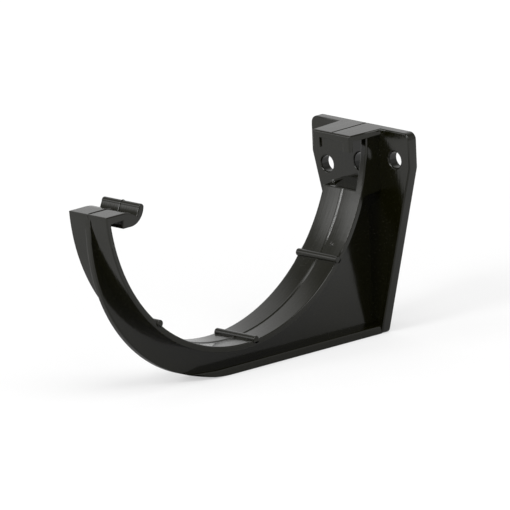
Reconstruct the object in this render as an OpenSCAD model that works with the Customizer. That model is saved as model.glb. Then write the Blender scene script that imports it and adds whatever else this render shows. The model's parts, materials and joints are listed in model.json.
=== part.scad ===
// Fascia bracket for a half-round rainwater gutter, moulded in one piece.
//
// +X points out from the wall, +Z is up and Y runs along the gutter.
// The origin is the centre of the middle screw hole, on the back face.
// The gutter's back edge snaps under the rear clip, its round underside
// sits on the beads of the saddle and its front edge locks under the nose.

/* [Gutter] */
// Outside diameter of the half-round gutter
gutter_d = 112; // [100:1:125]
// Depth of the saddle behind the gutter's skin, which is the height of the beads
seat_clear = 1; // [0.6:0.1:1.5]
// Distance from the wall to the back of the saddle circle
wall_gap = 9.3; // [8.6:0.1:11]
// Height of the saddle circle's centre above the middle screw
rim_rise = 12; // [10.5:0.5:13]

/* [Back plate] */
// Width of the upper part
plate_w = 43.4; // [40:0.2:52]
// Full height
plate_h = 67; // [64:0.5:80]
// Thickness
plate_t = 3.7; // [3:0.1:4.5]
// Height of the top edge above the middle screw
plate_rise = 12.1; // [11:0.1:14]
// Height of the straight sides, above the taper
straight_h = 11.4; // [9:0.1:14]
// Width at the foot
foot_w = 12.8; // [12:0.2:16]
// Radius of the top corners
top_corner_r = 2.4; // [1:0.1:4]
// Radius of the foot's corners
foot_corner_r = 1.6; // [0.8:0.1:2.4]

/* [Screw holes] */
// Diameter of the two outer holes
side_hole_d = 5.3; // [4:0.1:6]
// Diameter of the middle hole
middle_hole_d = 6.2; // [4.5:0.1:7]
// Distance of the outer holes from the middle, along the gutter
hole_reach = 15.2; // [14:0.1:16.5]
// Height of one outer hole above the middle, and of the other below it
hole_stagger = 2.8; // [0:0.1:4]

/* [Saddle] */
// Width along the gutter
band_w = 17; // [15:0.2:19]
// Thickness
band_t = 2; // [1.6:0.1:3]
// Drop from the circle's centre to the band's back end
band_end_drop = 18.8; // [17.5:0.1:20]
// Angle of the front bead from straight down, away from the wall
bead_front = 40.6; // [34:0.2:50]
// Angle of the lowest bead from straight down, towards the wall
bead_low = 4.9; // [0:0.1:8]
// Angle of the rear bead from straight down, towards the wall
bead_rear = 47.7; // [36:0.1:54]
// Radius of the beads
bead_r = 1.2; // [1:0.05:1.6]
// How far the bead ends stand out of the band's sides
bead_proud = 0.45; // [0:0.05:0.6]
// Width of the ridge that the mould's parting line leaves
ridge_w = 0.6; // [0.3:0.05:1]
// Height of that ridge
ridge_h = 0.15; // [0.05:0.05:0.3]

/* [Keel] */
// Thickness of the web at the back plate
web_t_back = 5.6; // [3:0.1:7]
// Thickness of the web at the front arm
web_t_front = 2.2; // [1.6:0.1:3]
// Radius of the keel's rounded front
keel_r = 55.7; // [54:0.1:58]
// Distance from the wall to the centre of that rounding
keel_reach = 69.5; // [68:0.5:71]
// Width of the bottom flange
flange_w = 12.6; // [10:0.2:15]
// Thickness of the bottom flange
flange_t = 2.75; // [2:0.05:4]
// Length over which the flange keeps its full width
flange_len = 76.9; // [60:0.1:80]
// Width to which it has narrowed where it runs out into the keel's rounding
flange_tip_w = 6; // [4:0.2:8]

/* [Rear clip] */
// Width at the back plate
clip_w_back = 18.7; // [17:0.1:20]
// Width at the lip
clip_w_front = 16.6; // [15:0.1:17]
// Distance from the wall to the front of the lip
clip_reach = 16.5; // [15.6:0.1:19]
// Thickness of the top
clip_t = 2; // [1.6:0.1:2.4]
// Fall of the top towards the front
clip_fall = 0.1; // [0:0.1:1]
// Thickness of the lip
lip_t = 1.4; // [1.2:0.1:2]
// Height of the lip, top included
lip_h = 5.4; // [3.5:0.1:6]
// Width of the shallow pocket in the lip's front
lip_pocket_w = 10.2; // [6:0.2:12]
// Depth of that pocket
lip_pocket_d = 0.6; // [0.3:0.1:0.8]
// Distance from the top to that pocket
lip_pocket_drop = 2.3; // [1.2:0.1:2.6]
// Thickness of the side wall, which stands flush with the band's side
cheek_t = 2.6; // [1.6:0.1:3]
// Thickness of the floor behind the band's back end
floor_t = 2.2; // [1.6:0.1:3]
// Rise of the floor from the band's back end to the back plate
floor_rise = 1.1; // [0.6:0.1:1.6]
// Thickness of the kerb on the floor's open side
kerb_t = 2.2; // [1.6:0.1:3]
// Height of the kerb's top above the band's back end
kerb_rise = 0.8; // [0.4:0.1:1.2]
// Distance from the wall to the kerb's front end
kerb_reach = 9.5; // [8.6:0.1:10]

/* [Front hook] */
// Height of the arm's top above the middle screw
arm_top = 7.2; // [6:0.1:8]
// Thickness of the arm's top
arm_t = 2.5; // [2:0.1:3]
// Radius of the arm's outer edge
arm_edge_r = 0.9; // [0.4:0.1:1.4]
// Width of the slot for the gutter's front edge
slot_w = 5; // [4.4:0.1:6]
// Drop of the nose below the arm's top
nose_drop = 5.1; // [4.2:0.1:6]
// Radius of the nose's round back
nose_r = 5.95; // [5.6:0.05:6.4]
// Length of the nose's flat underside
nose_flat = 3.7; // [3:0.1:4.4]
// Radius of the hump that runs down from the arm's top into the hollow
hump_r = 10; // [9:0.5:14]
// Length of that run
hump_len = 5.7; // [5:0.1:6]
// Radius of the nose's tip
tip_r = 1.15; // [0.9:0.05:1.3]
// Height of the tip's centre above the arm's top
tip_rise = 0.35; // [0.1:0.05:0.8]

/* [Hidden] */
$fn = 160;
// Overlap that fuses neighbouring features
fuse = 0.4;
// Reach of cutting tools beyond what they cut
past = 1;

seat_r = gutter_d / 2 + seat_clear;
back_r = seat_r + band_t;
seat_x = wall_gap + seat_r;
seat_z = rim_rise;

plate_top = plate_rise;
plate_foot = plate_rise - plate_h;
shoulder_z = plate_rise - straight_h;

band_end_z = seat_z - band_end_drop;
band_end_back_x = seat_x - sqrt(back_r * back_r - band_end_drop * band_end_drop);

keel_z = plate_foot + keel_r;
keel_front = keel_reach + keel_r;
// The flange ends where its flat top meets the keel's rounding
flange_end = keel_reach + sqrt(keel_r * keel_r - (keel_r - flange_t) * (keel_r - flange_t));

// Inner face of the front arm where it meets the underside of its top
arm_in_drop = seat_z - (arm_top - arm_t);
arm_in_x = seat_x + sqrt(seat_r * seat_r - arm_in_drop * arm_in_drop);
// Front corner of the arm's top
arm_top_drop = seat_z - arm_top;
arm_out_x = seat_x + sqrt(back_r * back_r - arm_top_drop * arm_top_drop);

nose_front_x = arm_in_x - slot_w;
nose_foot = arm_top - nose_drop;
nose_x = nose_front_x - nose_flat;
nose_z = nose_foot + nose_r;
tip_z = arm_top + tip_rise;
// The tip's round end starts where the nose's round back reaches the height tip_z
tip_x = nose_x - sqrt(nose_r * nose_r - (tip_z - nose_z) * (tip_z - nose_z)) + tip_r;
hump_x = nose_front_x - fuse;
valley_x = hump_x - hump_len;
valley_z = arm_top - hump_r + sqrt(hump_r * hump_r - hump_len * hump_len);

clip_slope = clip_fall / (clip_reach - plate_t);

// Stands an outline, drawn with X out from the wall and Y up, across the width w
module across(w) {
    rotate([90, 0, 0])
        linear_extrude(height = w, center = true)
            children();
}

// Outline of the back plate, drawn with X along the gutter and Y up
module plate_outline() {
    run = (plate_w - foot_w) / 2;
    rise = shoulder_z - plate_foot;
    side = sqrt(run * run + rise * rise);
    n = [rise / side, -run / side];
    foot_c = [foot_w / 2 - foot_corner_r * (1 + n[1]) / n[0], plate_foot + foot_corner_r];
    foot_p = foot_c + foot_corner_r * n;
    top_x = plate_w / 2 - top_corner_r;
    top_y = plate_top - top_corner_r;
    polygon([
        [-foot_c[0], plate_foot], [foot_c[0], plate_foot], foot_p,
        [plate_w / 2, shoulder_z], [plate_w / 2, top_y], [top_x, plate_top],
        [-top_x, plate_top], [-plate_w / 2, top_y], [-plate_w / 2, shoulder_z],
        [-foot_p[0], foot_p[1]]
    ]);
    for (s = [-1, 1]) {
        translate([s * foot_c[0], foot_c[1]])
            circle(r = foot_corner_r);
        translate([s * top_x, top_y])
            circle(r = top_corner_r);
    }
}

module back_plate() {
    rotate([90, 0, 90])
        linear_extrude(height = plate_t)
            plate_outline();
}

// Screw hole of diameter d through the back plate
module screw_hole(d, y, z) {
    translate([-past, y, z])
        rotate([0, 90, 0])
            cylinder(d = d, h = plate_t + 2 * past);
}

// Disc of radius r about the saddle circle's centre
module seat_disc(r) {
    translate([seat_x, seat_z])
        circle(r = r);
}

// The saddle's curved strip, from its back end to the top of the front arm
module band_outline() {
    difference() {
        seat_disc(back_r);
        seat_disc(seat_r);
        translate([seat_x - back_r - past, band_end_z])
            square([back_r + past, 2 * back_r]);
        translate([seat_x - fuse, arm_top])
            square([back_r + past, 2 * back_r]);
    }
}

module saddle_band() {
    across(band_w)
        band_outline();
}

// Round bead across the saddle, a degrees from straight down
module bead(a) {
    translate([seat_x + seat_r * sin(a), 0, seat_z - seat_r * cos(a)])
        rotate([90, 0, 0])
            cylinder(r = bead_r, h = band_w + 2 * bead_proud, center = true, $fn = 40);
}

module seat_beads() {
    for (a = [bead_front, -bead_low, -bead_rear])
        bead(a);
}

// Fine ridge that the mould's parting line leaves along the saddle
module parting_ridge() {
    across(ridge_w)
        intersection() {
            difference() {
                seat_disc(seat_r + fuse);
                seat_disc(seat_r - ridge_h);
            }
            translate([band_end_back_x, plate_foot])
                square([arm_out_x - band_end_back_x, band_end_z - plate_foot]);
        }
}

// Everything that lies inside the keel's outer line
module keel_outline() {
    translate([keel_reach, keel_z])
        intersection() {
            circle(r = keel_r);
            translate([0, -keel_r])
                square([keel_r, 2 * keel_r]);
        }
    translate([plate_t - fuse, plate_foot])
        square([keel_reach - plate_t + 2 * fuse, keel_r]);
}

// Plan of the web, which thins from the back plate to the front arm
module web_plan() {
    polygon([
        [0, -web_t_back / 2], [keel_front, -web_t_front / 2],
        [keel_front, web_t_front / 2], [0, web_t_back / 2]
    ]);
}

// Web between the back plate and the saddle, with its keel below the saddle
module web() {
    intersection() {
        across(band_w)
            difference() {
                keel_outline();
                seat_disc(seat_r + band_t / 2);
                translate([0, band_end_z - floor_t / 2])
                    square([seat_x, keel_r]);
                translate([seat_x, arm_top - arm_edge_r])
                    square([2 * back_r, keel_r]);
            }
        translate([0, 0, plate_foot - past])
            linear_extrude(height = plate_h + 2 * past)
                web_plan();
    }
}

// Plan of the bottom flange, narrowing to its front end
module flange_plan() {
    polygon([
        [plate_t - fuse, -flange_w / 2], [flange_len, -flange_w / 2],
        [flange_end, -flange_tip_w / 2], [flange_end, flange_tip_w / 2],
        [flange_len, flange_w / 2], [plate_t - fuse, flange_w / 2]
    ]);
}

// Flat-topped flange, cut to the keel's rounding at its front end
module bottom_flange() {
    intersection() {
        across(flange_w)
            keel_outline();
        translate([0, 0, plate_foot - past])
            linear_extrude(height = flange_t + past)
                flange_plan();
    }
}

// Height of the clip's top face at distance x from the wall
function clip_top_at(x) = plate_top - (x - plate_t) * clip_slope;

// Top and lip of the rear clip
module clip_outline() {
    in_x = plate_t - fuse;
    lip_x = clip_reach - lip_t;
    lip_foot = clip_top_at(clip_reach) - lip_h;
    polygon([
        [in_x, plate_top], [plate_t, plate_top], [clip_reach, clip_top_at(clip_reach)],
        [clip_reach, lip_foot], [lip_x, lip_foot], [lip_x, clip_top_at(lip_x) - clip_t],
        [in_x, clip_top_at(in_x) - clip_t]
    ]);
}

// Floor that ties the band's back end to the back plate
module floor_outline() {
    front_x = band_end_back_x + fuse;
    in_x = plate_t - fuse;
    polygon([
        [in_x, band_end_z + floor_rise], [front_x, band_end_z],
        [front_x, band_end_z - floor_t], [in_x, band_end_z + floor_rise - floor_t]
    ]);
}

// Side wall, whose front edge follows the saddle circle
module cheek_outline() {
    in_x = plate_t - fuse;
    front_x = seat_x - sqrt(seat_r * seat_r - band_end_drop * band_end_drop);
    difference() {
        polygon([
            [in_x, clip_top_at(plate_t) - clip_t / 2],
            [front_x, clip_top_at(front_x) - clip_t / 2],
            [front_x, band_end_z - fuse], [band_end_back_x + fuse, band_end_z - floor_t],
            [in_x, band_end_z + floor_rise - floor_t]
        ]);
        seat_disc(seat_r);
    }
}

// Low kerb on the floor's open side
module kerb_outline() {
    in_x = plate_t - fuse;
    translate([in_x, band_end_z - floor_t / 2])
        square([kerb_reach - in_x, kerb_rise + floor_t / 2]);
}

// Plan of the rear clip, which narrows towards the lip
module clip_plan() {
    polygon([
        [0, -clip_w_back / 2], [plate_t, -clip_w_back / 2],
        [clip_reach, -clip_w_front / 2], [clip_reach, clip_w_front / 2],
        [plate_t, clip_w_back / 2], [0, clip_w_back / 2]
    ]);
}

// Upright block on the clip's plan, as high as the back plate
module clip_block() {
    translate([0, 0, plate_foot])
        linear_extrude(height = plate_h)
            clip_plan();
}

module rear_clip() {
    intersection() {
        across(clip_w_back)
            clip_outline();
        clip_block();
    }
    across(band_w)
        floor_outline();
    translate([0, (band_w - cheek_t) / 2, 0])
        across(cheek_t)
            cheek_outline();
    translate([0, (kerb_t - band_w) / 2, 0])
        across(kerb_t)
            kerb_outline();
}

// Shallow pocket in the front of the lip, open at its foot
module lip_pocket() {
    pocket_top = clip_top_at(clip_reach) - lip_pocket_drop;
    translate([clip_reach - lip_pocket_d, -lip_pocket_w / 2, pocket_top - lip_h])
        cube([lip_pocket_d + past, lip_pocket_w, lip_h]);
}

// Top of the front arm, rounded at its outer edge
module arm_outline() {
    edge_x = arm_out_x - arm_edge_r;
    edge_z = arm_top - arm_edge_r;
    difference() {
        intersection() {
            seat_disc(back_r);
            translate([nose_front_x - fuse, arm_top - arm_t])
                square([back_r, arm_t]);
        }
        translate([edge_x, edge_z])
            difference() {
                square([2 * arm_edge_r, 2 * arm_edge_r]);
                circle(r = arm_edge_r, $fn = 60);
            }
    }
}

// Space between the hump and the nose's tip
module nose_hollow() {
    difference() {
        polygon([
            [tip_x + tip_r, tip_z + past], [tip_x + tip_r, tip_z],
            [valley_x, valley_z - fuse], [hump_x, valley_z - fuse], [hump_x, arm_top],
            [arm_in_x, arm_top], [arm_in_x, tip_z + past]
        ]);
        translate([hump_x, arm_top - hump_r])
            circle(r = hump_r);
    }
}

// Curled nose behind the slot
module nose_outline() {
    difference() {
        intersection() {
            union() {
                translate([nose_x, nose_z])
                    circle(r = nose_r);
                translate([nose_x, nose_foot])
                    square([nose_flat, nose_drop]);
            }
            translate([nose_x - nose_r, nose_foot])
                square([nose_r + nose_flat, tip_z - nose_foot]);
        }
        nose_hollow();
    }
    translate([tip_x, tip_z])
        circle(r = tip_r, $fn = 60);
}

module front_hook() {
    across(band_w) {
        arm_outline();
        nose_outline();
    }
}

module bracket() {
    color([0.07, 0.07, 0.065])
        difference() {
            union() {
                back_plate();
                saddle_band();
                seat_beads();
                parting_ridge();
                web();
                bottom_flange();
                rear_clip();
                front_hook();
            }
            screw_hole(middle_hole_d, 0, 0);
            screw_hole(side_hole_d, hole_reach, hole_stagger);
            screw_hole(side_hole_d, -hole_reach, -hole_stagger);
            lip_pocket();
        }
}

bracket();
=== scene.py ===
# %% [markdown]
# # A moulded gutter bracket
#
# The bracket holds a half-round rainwater gutter off a wall. It is one moulding in glossy black
# plastic: a back plate with three screw holes, a curved saddle on a thin web, a clip at the back
# and a curled hook at the front. Its solid comes from the CAD frame, in metres, with +X out from
# the wall, +Z up and the middle screw hole at the origin. This lesson gives that solid the things
# that make a moulding look real: softly broken edges, the fine line where the two halves of the
# mould meet, and a plastic whose gloss is not quite even.

# %% Load the frame and keep its box
import json
import math

import bmesh
import bpy
import numpy as np
from mathutils import Matrix, Vector


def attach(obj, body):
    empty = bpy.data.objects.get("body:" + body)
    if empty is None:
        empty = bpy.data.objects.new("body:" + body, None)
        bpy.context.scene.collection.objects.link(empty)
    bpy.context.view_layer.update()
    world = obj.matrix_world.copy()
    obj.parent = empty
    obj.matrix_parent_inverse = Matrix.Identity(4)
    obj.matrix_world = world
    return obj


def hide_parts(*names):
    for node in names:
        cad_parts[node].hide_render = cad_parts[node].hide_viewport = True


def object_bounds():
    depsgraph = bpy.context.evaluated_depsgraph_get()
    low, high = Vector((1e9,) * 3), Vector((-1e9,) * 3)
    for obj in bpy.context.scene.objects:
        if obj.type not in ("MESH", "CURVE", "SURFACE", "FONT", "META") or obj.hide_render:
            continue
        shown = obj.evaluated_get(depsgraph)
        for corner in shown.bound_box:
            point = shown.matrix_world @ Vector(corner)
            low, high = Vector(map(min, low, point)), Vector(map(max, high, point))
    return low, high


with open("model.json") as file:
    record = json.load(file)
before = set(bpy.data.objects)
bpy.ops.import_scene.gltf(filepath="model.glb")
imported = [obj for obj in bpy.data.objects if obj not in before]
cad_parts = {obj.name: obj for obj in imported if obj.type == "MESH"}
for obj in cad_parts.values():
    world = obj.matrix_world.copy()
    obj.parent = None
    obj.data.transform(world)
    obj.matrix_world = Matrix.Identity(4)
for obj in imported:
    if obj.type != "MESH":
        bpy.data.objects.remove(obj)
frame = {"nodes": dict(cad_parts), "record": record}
CAD_BOX = [list(corner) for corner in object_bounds()]
MM = 0.001
moulding = frame["nodes"]["bracket"]
mounts = {mount["name"]: mount["pos_m"] for mount in frame["record"]["mounts"]}
seat_x, _, seat_z = mounts["gutter_seat"]
floor_z = CAD_BOX[0][2]
print("CAD box in mm:", [[round(c / MM, 1) for c in corner] for corner in CAD_BOX])

# %% [markdown]
# ## Breaking the edges
#
# A mould is cut with round tools and polished, so no edge of a real moulding is a knife edge.
# Each one is broken by a few tenths of a millimetre and catches the light as a thin bright line.
# One could round the edges in the shader alone, but then the outline stays sharp, so here they
# are cut as geometry. The CAD mesh comes as loose triangles. A copy is merged into one skin, flat
# stretches are joined into whole faces, and a Bevel modifier rounds each sharp edge. Most edges
# get half a millimetre, the thin edges along the saddle less, and the clip's front edge, which
# the hand meets first, more. How far a round may go is worked out edge by edge: where a
# neighbouring edge is close, the round shrinks with the room that is left. The foot of the clip's
# lip stays sharp, as the mould's halves part there.

# %% Copy the solid and merge it into one skin
EDGE_ROUND = 0.5 * MM
SADDLE_ROUND = 0.35 * MM
FRONT_ROUND = 0.8 * MM
SHARP = math.radians(24)
FLAT = math.radians(0.4)


def merged_copy(source, name):
    """A copy of a CAD mesh with its loose triangles welded and its flat stretches joined."""
    mesh = source.data.copy()
    mesh.name = name
    work = bmesh.new()
    work.from_mesh(mesh)
    bmesh.ops.remove_doubles(work, verts=work.verts, dist=0.002 * MM)
    bmesh.ops.dissolve_limit(work, angle_limit=FLAT, verts=work.verts, edges=work.edges)
    work.to_mesh(mesh)
    work.free()
    piece = bpy.data.objects.new(name, mesh)
    bpy.context.scene.collection.objects.link(piece)
    return piece


skin = merged_copy(moulding, "bracket_skin")
print("merged skin:", len(skin.data.vertices), "points,", len(skin.data.polygons), "faces")


# %% Score the fine line along the clip's top
SCORE_HALF_WIDTH = 0.38 * MM
SCORE_DEPTH = 0.32 * MM
SCORE_ENDS = (0.7 * MM, 15.6 * MM)
TOP_MARGIN = 0.008 * MM
WHOLE_WIDTH = 30 * MM
ON_PLANE = 1e-7


def score_top(piece):
    """Cuts a shallow V into the top faces along y = 0, and returns how many points it lowers.

    The faces are cut at y = -w, 0 and +w, and the strip between again at the two ends in x. The
    points at y = 0 between the ends go down by SCORE_DEPTH. Faces and edges are cut, so no gap
    opens. All points are kept TOP_MARGIN under the box's top, as the round of a sloping edge can
    rise a little.
    """
    work = bmesh.new()
    work.from_mesh(piece.data)
    top = CAD_BOX[1][2]

    def cut(place, direction, reach):
        faces = [f for f in work.faces if f.normal.z > 0.9 and abs(f.calc_center_median().y) < reach
                 and f.calc_center_median().z > top - 1 * MM]
        edges = {e for f in faces for e in f.edges}
        verts = {v for f in faces for v in f.verts}
        bmesh.ops.bisect_plane(work, geom=[*verts, *edges, *faces], dist=ON_PLANE,
                               plane_co=place, plane_no=direction)

    for y in (-SCORE_HALF_WIDTH, 0.0, SCORE_HALF_WIDTH):
        cut((0, y, 0), (0, 1, 0), WHOLE_WIDTH)
    for x in SCORE_ENDS:
        cut((x, 0, 0), (1, 0, 0), SCORE_HALF_WIDTH)
    low = [v for v in work.verts if abs(v.co.y) < ON_PLANE and v.co.z > top - 0.5 * MM
           and SCORE_ENDS[0] - 1e-6 < v.co.x < SCORE_ENDS[1] + 1e-6]
    for v in low:
        v.co.z -= SCORE_DEPTH
    for v in work.verts:
        v.co.z = min(v.co.z, top - TOP_MARGIN)
    work.to_mesh(piece.data)
    work.free()
    return len(low)


print("points on the scored line:", score_top(skin))

# %% [markdown]
# ## The crowned saddle
#
# Thick plastic shrinks as it cools, and the saddle is thickest where the web meets it and along
# its edges. So each half of its face is left a little proud in its middle, and the room's windows
# are mirrored on it as soft pools instead of flat sheets. It is worked into the mesh, so that it
# is also there in the solid.

# %% Crown the two halves of the saddle
SEAT_R = 57.0
CROWN = 0.13 * MM
CREST = 4.25 * MM
CROWN_CUTS = MM * np.array([0.35, 1.6, 2.9, 4.25, 5.6, 6.9, 7.9])
RIDGE_TOP = 56.85
RIDGE_SIDE = 0.32 * MM
SAME_RADIUS = 0.02


def crown_saddle(piece):
    """Sinks the saddle's face by CROWN * (|y| / CREST - 1)^2, away from the seat's axis.

    Its faces are cut lengthways first, so that the curve has points to follow. They are those with
    all points on the seat's radius and their normal towards its axis. The square ridge between the
    halves sinks with them, so that it lies under the one that is swept over it below.
    """
    work = bmesh.new()
    work.from_mesh(piece.data)

    def from_axis(point):
        return Vector((point.x - seat_x, 0, point.z - seat_z))

    def face_of_saddle(f):
        inwards = f.normal.dot(from_axis(f.calc_center_median())) < -0.9 * SEAT_R * MM
        return inwards and all(
            abs(from_axis(v.co).length - SEAT_R * MM) < SAME_RADIUS * MM for v in f.verts)

    def point_of_ridge(point):
        above = from_axis(point).length / MM - RIDGE_TOP
        return (abs(point.y) < RIDGE_SIDE and point.z < 0
                and -SAME_RADIUS < above < SEAT_R - RIDGE_TOP + SAME_RADIUS)

    for y in (*-CROWN_CUTS, *CROWN_CUTS):
        faces = [f for f in work.faces if face_of_saddle(f)]
        edges = {e for f in faces for e in f.edges}
        verts = {v for f in faces for v in f.verts}
        bmesh.ops.bisect_plane(work, geom=[*verts, *edges, *faces], dist=ON_PLANE,
                               plane_co=(0, y, 0), plane_no=(0, 1, 0))
    moved = {v for f in work.faces if face_of_saddle(f) for v in f.verts}
    moved |= {v for v in work.verts if point_of_ridge(v.co)}
    for v in moved:
        depth = CROWN * (abs(v.co.y) / CREST - 1) ** 2
        v.co += from_axis(v.co).normalized() * depth
    work.to_mesh(piece.data)
    work.free()
    return len(moved)


print("points on the crowned saddle:", crown_saddle(skin))


# %% Measure the room beside every sharp edge
def sharp_edges(mesh):
    """The edges whose two faces turn by more than SHARP: ids, point ids, points and turns.

    The turn is the angle between the faces' normals, arccos(n1 . n2), with a plus sign where the
    edge stands out and a minus sign in an inner corner.
    """
    work = bmesh.new()
    work.from_mesh(mesh)
    turn = np.array([e.calc_face_angle_signed(0) for e in work.edges])
    work.free()
    ends = np.empty(2 * len(mesh.edges), np.int32)
    mesh.edges.foreach_get("vertices", ends)
    points = np.empty(3 * len(mesh.vertices))
    mesh.vertices.foreach_get("co", points)
    found = np.flatnonzero(np.abs(turn) > SHARP)
    ends = ends.reshape(-1, 2)[found]
    return found, ends, points.reshape(-1, 3)[ends], turn[found]


def room_beside(segments):
    """For each segment, the distance from its middle to the nearest segment that lies beside it.

    The nearest point on segment a-b to p is a + t (b - a), with t = (p - a).(b - a) / |b - a|^2
    kept between 0 and 1. A neighbour counts as beside, and not as the next in line, when the way
    to it makes more than 45 degrees with the segment's own direction.
    """
    a, b = segments[:, 0], segments[:, 1]
    along = b - a
    length = np.linalg.norm(along, axis=1)
    middle = (a + b) / 2
    towards = middle[:, None] - a[None]
    t = np.clip((towards * along[None]).sum(2) / np.maximum(length[None] ** 2, 1e-18), 0, 1)
    gap = a[None] + t[..., None] * along[None] - middle[:, None]
    distance = np.linalg.norm(gap, axis=2)
    own = along / np.maximum(length[:, None], 1e-12)
    inline = np.abs((gap * own[:, None]).sum(2)) > 0.7 * distance
    distance[inline | (distance < 1e-9)] = np.inf
    return distance.min(axis=1)


def level_short_runs(weight, ends, segments, short=0.7 * MM):
    """Gives short edges the weight of the edge that they run on from, so the round never jumps.

    Two edges that share a point run on when their directions make less than 40 degrees. Done four
    times over, the weight passes along the short edges of a small corner.
    """
    along = segments[:, 1] - segments[:, 0]
    length = np.linalg.norm(along, axis=1)
    along /= length[:, None]
    shared = (ends[:, None, :, None] == ends[None, :, None, :]).any(axis=(2, 3))
    runs_on = shared & (np.abs(along @ along.T) > 0.77) & (weight > 0)[None] & (weight > 0)[:, None]
    for _ in range(4):
        neighbour = np.where(runs_on, weight[None], 0).max(axis=1)
        weight = np.where(length < short, np.maximum(weight, neighbour), weight)
    return weight


edge_ids, edge_ends, edge_segments, edge_turn = sharp_edges(skin.data)
room = room_beside(edge_segments)

# %% Choose how far each edge is rounded
CLIP_FRONT = 16.5 * MM
CLIP_TOP = 11.9 * MM
LIP_FOOT, LIP_BACK = 6.6 * MM, 15 * MM
BAND_ZONE = (55, 61)
ROOM_USED = 0.42
TINY = 0.01 * MM

x, y, z = edge_segments.mean(axis=1).T
from_seat = np.hypot(x - seat_x, z - seat_z) / MM
reach = np.full(len(x), EDGE_ROUND)
reach[(from_seat > BAND_ZONE[0]) & (from_seat < BAND_ZONE[1]) & (z < 0)] = SADDLE_ROUND
reach[(np.abs(x - CLIP_FRONT) < TINY) & (z > CLIP_TOP)] = FRONT_ROUND
width = np.minimum(ROOM_USED * room, reach) * (edge_turn > 0)
# Past 100 degrees of turn an edge is a knife, and the round shrinks to a tenth at 154.
width *= np.clip((math.radians(160) - edge_turn) / math.radians(60), 0.1, 1)
width = level_short_runs(width, edge_ends, edge_segments)
on_lip_foot = (np.abs(z - LIP_FOOT) < TINY) & (x > LIP_BACK)
width[(width < 0.5 * reach) | on_lip_foot] = 0
weights = np.zeros(len(skin.data.edges), np.float32)
weights[edge_ids] = width / FRONT_ROUND
layer = skin.data.attributes.new("bevel_weight_edge", "FLOAT", "EDGE")
layer.data.foreach_set("value", weights)
creased = np.zeros(len(skin.data.edges), bool)
creased[edge_ids] = weights[edge_ids] == 0
print(len(edge_ids), "sharp edges,", int((width == reach).sum()), "with their full round")

# %% Round the edges and keep the flats flat
rounding = skin.modifiers.new("edge_round", "BEVEL")
rounding.limit_method = "WEIGHT"
rounding.width = FRONT_ROUND
rounding.segments = 3
rounding.use_clamp_overlap = False
skin.data.shade_smooth()
skin.data.attributes.new("sharp_edge", "BOOLEAN", "EDGE").data.foreach_set("value", creased)
shading = skin.modifiers.new("flats", "WEIGHTED_NORMAL")
shading.keep_sharp = True
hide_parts("bracket")
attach(skin, "root")

# %% [markdown]
# ## The line where the mould halves meet
#
# The two halves of the mould close on the middle plane, y = 0, and a little plastic creeps into
# the joint. On the clip's top it was scraped off and left the score cut above. Over the arm and
# the nose and down the arm's front it still stands as a hair-thin raised line, and along the
# saddle as a low ridge. They could be painted on as bump, but a bump has no outline and no real
# flank for the light to run along. So each is swept here as a low roof along the outline of what
# it crosses. The roof's foot is sunk into the moulding, so it grows out of it with no gap.

# %% Sweep a low roof along an outline
LINE_FOOT = 0.28 * MM


def arc(centre, radius, start, stop, count):
    """Points on a circle in the x-z plane: centre + radius (cos t, sin t), t in degrees."""
    t = np.radians(np.linspace(start, stop, count))
    return np.column_stack([centre[0] + radius * np.cos(t), centre[1] + radius * np.sin(t)])


def outward(path):
    """Unit normals of a path in the x-z plane, on its right-hand side as it runs.

    The tangent is the difference of the neighbouring points; turned by -90 degrees it is (dz, -dx).
    """
    tangent = np.gradient(path, axis=0)
    tangent /= np.linalg.norm(tangent, axis=1)[:, None]
    return np.column_stack([tangent[:, 1], -tangent[:, 0]])


def roof_line(name, path, side, share, height):
    """A closed low roof carried along a path that lies on the moulding's middle plane.

    Point (i, j) is path[i] + normal[i] * height[i] * share[j], at y = side[j]. The first and last
    columns are the feet and lie LINE_FOOT under the path. One face closes each end.
    """
    height = np.broadcast_to(height, len(path))
    share, side = np.array(share), np.array(side)
    rise = share[None] * height[:, None]
    rise[:, [0, -1]] = -LINE_FOOT
    normal = outward(path)
    x = path[:, :1] + normal[:, :1] * rise
    z = path[:, 1:] + normal[:, 1:] * rise
    points = np.stack([x, np.broadcast_to(side, x.shape), z], axis=2).reshape(-1, 3)
    rings, around = rise.shape
    i, j = np.meshgrid(np.arange(rings - 1), np.arange(around), indexing="ij")
    a, b = i * around + j, i * around + (j + 1) % around
    faces = np.stack([a, a + around, b + around, b], axis=2).reshape(-1, 4).tolist()
    faces += [list(range(around)), list(range((rings - 1) * around, rings * around))[::-1]]
    return solid_piece(name, points, faces, crease=15)


def solid_piece(name, points, faces, crease):
    """A piece of the moulding from points and faces, turned outwards, smooth below the crease."""
    mesh = bpy.data.meshes.new(name)
    mesh.from_pydata(points.tolist(), [], faces)
    work = bmesh.new()
    work.from_mesh(mesh)
    bmesh.ops.recalc_face_normals(work, faces=work.faces)
    work.to_mesh(mesh)
    work.free()
    mesh.shade_smooth()
    mesh.set_sharp_from_angle(angle=math.radians(crease))
    piece = bpy.data.objects.new(name, mesh)
    bpy.context.scene.collection.objects.link(piece)
    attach(piece, "root")
    return piece


# %% The outlines that the lines follow
# In millimetres: points are (x, z) and arcs are (x, z, radius).
BAND_OUT = 59.0
NOSE_FRONT = 117.83
ARM_TOP = 7.2
ARM_EDGE_R = 0.9
HUMP = (117.43, -2.8, 10.0)
HOLLOW = (111.73, 5.42)
TIP = (109.35, 7.55, 1.15)
NOSE_BACK = (114.13, 8.05, 5.95)
# The swept ridge stands in the valley between the saddle's two crowned halves.
RIDGE_BED = 0.09

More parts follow.
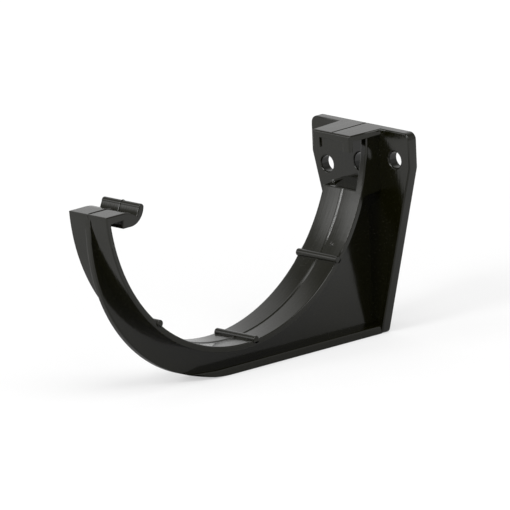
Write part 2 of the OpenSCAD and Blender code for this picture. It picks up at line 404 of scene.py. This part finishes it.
seat_centre = (seat_x / MM, seat_z / MM)
hollow_angle = math.degrees(math.atan2(HOLLOW[1] - HUMP[1], HOLLOW[0] - HUMP[0]))
arm_front = seat_centre[0] + math.sqrt(BAND_OUT ** 2 - (seat_centre[1] - ARM_TOP) ** 2)
arm_path = np.concatenate([
    arc(seat_centre, BAND_OUT, -17.5, -5.6, 24),
    arc((arm_front - ARM_EDGE_R, ARM_TOP - ARM_EDGE_R), ARM_EDGE_R - 0.02, 0, 90, 10),
    np.column_stack([np.linspace(arm_front - 1.4, NOSE_FRONT, 12), np.full(12, ARM_TOP)]),
    arc(HUMP[:2], HUMP[2], 90.5, hollow_angle, 16),
])
nose_path = np.concatenate([
    np.array([[HOLLOW[0] - 0.02, HOLLOW[1]]]),
    arc(TIP[:2], TIP[2], 0, 180, 16),
    arc(NOSE_BACK[:2], NOSE_BACK[2], 186, 262, 20),
])
seat_path = arc(seat_centre, SEAT_R + RIDGE_BED, 351, 199.3, 160)

# %% Sweep the lines
HAIR = 0.36 * MM * np.array([-0.5, -0.5, -0.3, 0, 0.3, 0.5, 0.5])
HAIR_SHARE = (0, 0.1, 0.8, 1, 0.8, 0.1, 0)
HAIR_HEIGHT = 0.22 * MM
RIDGE = 1.2 * MM * np.array([-0.5, -0.5, -0.08, 0.08, 0.5, 0.5])
RIDGE_SHARE = (0, 0.02, 1, 1, 0.02, 0)
RIDGE_HEIGHT = 0.27 * MM

# The arm's line rises over its first 3 mm and is halved at the foremost point.
fade_in = np.clip((arm_path[:, 1] - arm_path[0, 1]) / 3, 0.05, 1)
fade_in *= np.where(arm_path[:, 0] > 125, 0.5, 1)
lines = [
    roof_line("parting_line_arm", arm_path * MM, HAIR, HAIR_SHARE, HAIR_HEIGHT * fade_in),
    roof_line("parting_line_nose", nose_path * MM, HAIR, HAIR_SHARE, HAIR_HEIGHT),
    roof_line("parting_ridge", seat_path * MM, RIDGE, RIDGE_SHARE, RIDGE_HEIGHT),
]
print("parting lines:", [len(line.data.vertices) for line in lines], "points each")

# %% [markdown]
# ## The gate mark
#
# Where the molten plastic entered the mould, the sprue was broken off. It leaves a small ring
# with a nub in it, on the near half of the saddle just above the rear bead. It could be a bump as
# well, but it is round and stands up, so it is turned: one profile of height against radius,
# carried once round the saddle's own normal.

# %% Turn the gate mark
GATE_ANGLE, GATE_SIDE, GATE_R = 217.4, 3.1, 1.0


def turned_mark(name, centre, normal, across, radius):
    """A low ring with a nub: height = 0.2 exp(-((s - 0.62) / 0.16)^2) + 0.12 exp(-(s / 0.2)^2).

    s is the distance from the middle over the radius, and all lengths are in mm. A point is centre
    + r (cos u along + sin u across) + height normal. The rim is sunk under the saddle and closed.
    """
    along = np.cross(across, normal)
    s, u = np.meshgrid(np.linspace(0.08, 1, 12), np.linspace(0, 2 * np.pi, 25)[:-1], indexing="ij")
    rise = 0.2 * np.exp(-((s - 0.62) / 0.16) ** 2) + 0.12 * np.exp(-(s / 0.2) ** 2)
    rise[-1] = -0.12
    r = s * radius
    points = (centre + (r * np.cos(u))[..., None] * along + (r * np.sin(u))[..., None] * across
              + rise[..., None] * normal).reshape(-1, 3) * MM
    rings, around = s.shape
    i, j = np.meshgrid(np.arange(rings - 1), np.arange(around), indexing="ij")
    a, b = i * around + j, i * around + (j + 1) % around
    faces = np.stack([a, a + around, b + around, b], axis=2).reshape(-1, 4).tolist()
    faces += [list(range(around)), list(range((rings - 1) * around, rings * around))[::-1]]
    return solid_piece(name, points, faces, crease=60)


gate_turn = math.radians(GATE_ANGLE)
gate_normal = -np.array([math.cos(gate_turn), 0, math.sin(gate_turn)])
gate_centre = np.array([seat_centre[0], GATE_SIDE, seat_centre[1]]) - SEAT_R * gate_normal
gate_mark = turned_mark("gate_mark", gate_centre, gate_normal, np.array([0.0, 1.0, 0.0]), GATE_R)
print("gate mark at", gate_centre.round(1), "mm")

# %% [markdown]
# ## The floor, the camera and the light
#
# The bracket is shown in a white room, as small black parts often are: a glossy black surface has
# almost no colour of its own, and all that is seen on it is what it mirrors. A white world on
# every side gives each face a grey that depends only on how flat the line of sight lies on it.
# The camera looks with level, parallel rays, as from far off through a very long lens, so the
# sides of the moulding stay parallel.

# %% Floor
FLOOR_SIZE = 4.0


def floor_mesh(size, z):
    """A square of the given size at height z: points (+-size/2, +-size/2, z)."""
    half = size / 2
    corners = np.array([[-1, -1, 0], [1, -1, 0], [1, 1, 0], [-1, 1, 0]]) * half
    corners[:, 2] = z
    mesh = bpy.data.meshes.new("floor")
    mesh.from_pydata(corners.tolist(), [], [(0, 1, 2, 3)])
    return mesh


floor = bpy.data.objects.new("floor", floor_mesh(FLOOR_SIZE, floor_z))
bpy.context.scene.collection.objects.link(floor)

# %% Camera
AZIMUTH, ELEVATION, ROLL = 135.564, 13.712, 2.238
AIM = Vector((0.05651, 0.00468, -0.01898))
SPAN = 160.55 * MM
DISTANCE = 2.0


def camera_axes(azimuth, elevation, roll):
    """Right, up and back of a camera, from its two angles and its roll, in degrees.

    back = (sin a cos e, -cos a cos e, sin e); right lies level; the roll turns right and up.
    """
    a, e, r = (math.radians(angle) for angle in (azimuth, elevation, roll))
    back = Vector((math.sin(a) * math.cos(e), -math.cos(a) * math.cos(e), math.sin(e)))
    level = Vector((0, 0, 1)).cross(back).normalized()
    rise = back.cross(level)
    return math.cos(r) * level - math.sin(r) * rise, math.sin(r) * level + math.cos(r) * rise, back


right, up, back = camera_axes(AZIMUTH, ELEVATION, ROLL)
lens = bpy.data.cameras.new("camera")
lens.type = "ORTHO"
lens.ortho_scale = SPAN
lens.clip_end = 50
camera = bpy.data.objects.new("camera", lens)
camera.matrix_world = Matrix.Translation(AIM + DISTANCE * back) @ Matrix(
    (right, up, back)).transposed().to_4x4()
bpy.context.scene.collection.objects.link(camera)
bpy.context.scene.camera = camera
print("the view is", round(SPAN / MM), "mm wide")

# %% [markdown]
# ## Glossy black plastic
#
# Black moulded plastic is nearly black through and through, and its face is as smooth as the
# polished steel that it set against. What tells it from paint or glass is that the gloss is not
# quite even: broad, shallow waves where the plastic shrank, a breath of orange peel, the fine
# marks of the mould maker's polishing stones, which ran lengthways, a few dull scuffs where parts
# rubbed in their box, and some dust. Each of these is a noise on Object coordinates, so it stays
# in place on the part from every side.

# %% Shader maths as Python expressions
class Wire:
    """One output socket. Arithmetic on it adds a Math node and returns that node's output."""

    def __init__(self, socket):
        self.socket = socket

    def combine(self, operation, first, second):
        finish = Finish(self.socket.id_data)
        return finish.node("ShaderNodeMath", {"operation": operation}, {0: first, 1: second})

    def __add__(self, other):
        return self.combine("ADD", self, other)

    def __radd__(self, other):
        return self.combine("ADD", other, self)

    def __sub__(self, other):
        return self.combine("SUBTRACT", self, other)

    def __rsub__(self, other):
        return self.combine("SUBTRACT", other, self)

    def __mul__(self, other):
        return self.combine("MULTIPLY", self, other)

    def __rmul__(self, other):
        return self.combine("MULTIPLY", other, self)


class Finish:
    """A node tree that nodes are added to, each with its settings and its inputs."""

    def __init__(self, tree):
        self.tree = tree

    def node(self, kind, settings=None, inputs=None, out=0):
        """Adds one node: settings first, then values or links; returns the output named out."""
        made = self.tree.nodes.new(kind)
        for key, value in (settings or {}).items():
            if key == "stops":
                for stop, (position, shade) in zip(made.color_ramp.elements, value):
                    stop.position, stop.color = position, (shade, shade, shade, 1)
            else:
                setattr(made, key, value)
        for key, value in (inputs or {}).items():
            if isinstance(value, Wire):
                self.tree.links.new(value.socket, made.inputs[key])
            else:
                made.inputs[key].default_value = value
        return Wire(made.outputs[out]) if len(made.outputs) else made


# %% The black plastic
NEAR_BLACK = (0.0046, 0.0045, 0.0008, 1)
DUST_GREY = (0.30, 0.29, 0.27, 1)
REFRACTIVE_INDEX = 1.48


def black_plastic():
    """Glossy black: near-black base, uneven roughness, shallow waves, streaks, scuffs and dust."""
    material = bpy.data.materials.new("black_plastic")
    material.use_nodes = True
    material.node_tree.nodes.clear()
    f = Finish(material.node_tree)
    place = f.node("ShaderNodeTexCoord", out="Object")

    def noise(scale, detail=2.0, distortion=0.0, where=place):
        return f.node("ShaderNodeTexNoise", None, {
            "Vector": where, "Scale": scale, "Detail": detail, "Distortion": distortion})

    def ramp(value, low, high):
        return f.node("ShaderNodeValToRGB", {"stops": [(low, 0), (high, 1)]}, {"Fac": value})

    patches = ramp(noise(120, 3, 0.6), 0.56, 0.7)
    scratches = ramp(noise(2600, 2, 1.5), 0.6, 0.72)
    scuffs = patches * scratches
    dust = ramp(noise(3400, 0), 0.79, 0.83)
    # Polishing marks run lengthways, so they change fast across the part and slowly along it.
    lengthways = f.node("ShaderNodeVectorMath", {"operation": "MULTIPLY"}, {
        0: place, 1: (90, 1500, 90)})
    streaks = noise(1.0, 2, 0.3, lengthways)
    waves, peel = noise(70, 1.5), noise(1100, 1.5)
    roughness = 0.06 + 0.07 * noise(160, 3) + 0.10 * streaks + 0.22 * scuffs + 0.3 * dust
    height = (0.10 * MM) * waves + (0.007 * MM) * peel
    height = height + (0.002 * MM) * scuffs + (0.022 * MM) * streaks
    colour = f.node("ShaderNodeMix", {"data_type": "RGBA"}, {
        "Factor": 0.05 * scuffs + 0.04 * dust, "A": NEAR_BLACK, "B": DUST_GREY}, out=2)
    normal = f.node("ShaderNodeBump", None, {"Height": height, "Distance": 1.0, "Strength": 1.0})
    surface = f.node("ShaderNodeBsdfPrincipled", None, {
        "Base Color": colour, "Roughness": roughness, "IOR": REFRACTIVE_INDEX, "Normal": normal})
    f.node("ShaderNodeOutputMaterial", None, {"Surface": surface})
    return material


plastic = black_plastic()
for piece in [skin, gate_mark, *lines]:
    piece.data.materials.clear()
    piece.data.materials.append(plastic)
moulding.data.materials.clear()
moulding.data.materials.append(plastic)
print("plastic nodes:", len(plastic.node_tree.nodes))

# %% [markdown]
# ## The light
#
# The room is white but not evenly lit: paler behind the bracket on the far side, and dimmer
# towards the ceiling. The world holds that as a soft gradient of the direction alone. A window
# glows in it on the far side in front. A lamp there would be mirrored with hard edges, so the
# window is a bright patch of the same gradient, faded on all four sides, and its mirror image
# runs softly down the saddle. A tall strip lamp beside it is seen only in the round edges and in
# the fine ridge along the saddle, as a bright thread. A broad soft box hangs over the near side.
# Seen directly, the room is plain white.

# %% World
PALE_SIDE = (-0.62, -0.70, 0.35)
WALL_LEVEL, CEILING_LEVEL, PALE_LEVEL, WINDOW_LEVEL = 0.55, 0.30, 0.84, 2.7
window_azimuth = math.radians(50)
WINDOW_AHEAD = (math.sin(window_azimuth), -math.cos(window_azimuth), 0)
WINDOW_RIGHT = (math.cos(window_azimuth), math.sin(window_azimuth), 0)
world = bpy.data.worlds.new("white_room")
bpy.context.scene.world = world
world.use_nodes = True
world.node_tree.nodes.clear()
f = Finish(world.node_tree)


def soft_step(value, low, high):
    """0 below low, 1 above high, and a smooth S between them, in the tree that f now fills."""
    return f.node("ShaderNodeMapRange", {"interpolation_type": "SMOOTHSTEP"}, {
        "Value": value, "From Min": low, "From Max": high})


direction = f.node("ShaderNodeTexCoord", out="Generated")
height = f.node("ShaderNodeSeparateXYZ", None, {"Vector": direction}, out="Z")


def along(way):
    """How far the direction goes along a unit vector: their dot product."""
    return f.node("ShaderNodeVectorMath", {"operation": "DOT_PRODUCT"}, {
        0: direction, 1: Vector(way).normalized()}, out="Value")


near_pale_side = along(PALE_SIDE)
across, ahead = along(WINDOW_RIGHT), along(WINDOW_AHEAD)
window = soft_step(across, -0.32, -0.02) * (1 - soft_step(across, 0.16, 0.28))
window = window * soft_step(height, 0.02, 0.42) * (1 - soft_step(height, 0.56, 0.76))
window = window * soft_step(ahead, 0.3, 0.5)
level = WALL_LEVEL - (WALL_LEVEL - CEILING_LEVEL) * soft_step(height, 0.45, 0.72)
level = level + (PALE_LEVEL - level) * soft_step(near_pale_side, 0.62, 0.9)
level = level + (WINDOW_LEVEL - level) * window
seen = f.node("ShaderNodeLightPath", out="Is Camera Ray")
level = level + (1.0 - level) * seen
backdrop = f.node("ShaderNodeBackground", None, {"Color": (1, 1, 1, 1), "Strength": level})
f.node("ShaderNodeOutputWorld", None, {"Surface": backdrop})


# %% Lamps
def soft_lamp(name, azimuth, elevation, distance, width, height, radiance):
    """An area lamp that looks at the bracket's middle from two angles in degrees.

    A face of w by h that sends power P has the brightness P / (pi w h), so P = pi w h radiance.
    """
    data = bpy.data.lights.new(name, "AREA")
    data.shape = "RECTANGLE"
    data.size, data.size_y = width, height
    data.energy = math.pi * width * height * radiance
    lamp = bpy.data.objects.new(name, data)
    away = camera_axes(azimuth, elevation, 0)[2]
    lamp.matrix_world = Matrix.Translation(AIM + distance * away) @ Matrix(
        camera_axes(azimuth, elevation, 0)).transposed().to_4x4()
    bpy.context.scene.collection.objects.link(lamp)
    print(name, round(data.energy, 1), "W")
    return lamp


soft_lamp("strip", 97, 33, 1.5, 0.34, 0.84, 10.0)
soft_lamp("soft_box", 160, 58, 1.6, 1.3, 1.3, 2.6)
bpy.context.scene.view_settings.view_transform = "Standard"

# %% [markdown]
# ## The floor's paper
#
# The floor is a sheet of pale paper that runs out into white. It keeps the bracket's soft shadow,
# so its own colour stays a middle grey and a glow of its own lifts it to white. The glow grows
# with the distance from the bracket. Glossy plastic mirrors the paper as well, so it has a
# second, weaker glow for mirror images. This glow fades out right under the bracket, where its
# shadow lies: a painted shadow, which only the plastic's mirror images show.

# %% Paint the paper
NEAR_GLOW, FAR_GLOW, MIRRORED_GLOW = 0.53, 0.66, 0.36
UNDER_BRACKET = (0.06, 0, floor_z)

floor_paint = bpy.data.materials.new("floor_paper")
floor_paint.use_nodes = True
floor_paint.node_tree.nodes.clear()
f = Finish(floor_paint.node_tree)
seen = f.node("ShaderNodeLightPath", out="Is Camera Ray")
mirrored = Wire(seen.socket.node.outputs["Is Glossy Ray"])
spot = f.node("ShaderNodeTexCoord", out="Object")
away = f.node("ShaderNodeVectorMath", {"operation": "DISTANCE"}, {
    0: spot, 1: UNDER_BRACKET}, out="Value")
# The mirrored glow is faded out near the bracket: a painted shadow, seen only in the plastic's
# mirror images.
outside_painted_shadow, far = soft_step(away, 0.02, 0.20), soft_step(away, 0.06, 0.5)
glow = seen * (NEAR_GLOW + (FAR_GLOW - NEAR_GLOW) * far) + MIRRORED_GLOW * outside_painted_shadow * mirrored
paper = f.node("ShaderNodeBsdfPrincipled", None, {
    "Base Color": (0.45, 0.45, 0.45, 1), "Roughness": 0.9, "Specular IOR Level": 0.0,
    "Emission Color": (1, 1, 1, 1), "Emission Strength": glow})
f.node("ShaderNodeOutputMaterial", None, {"Surface": paper})
floor.data.materials.append(floor_paint)
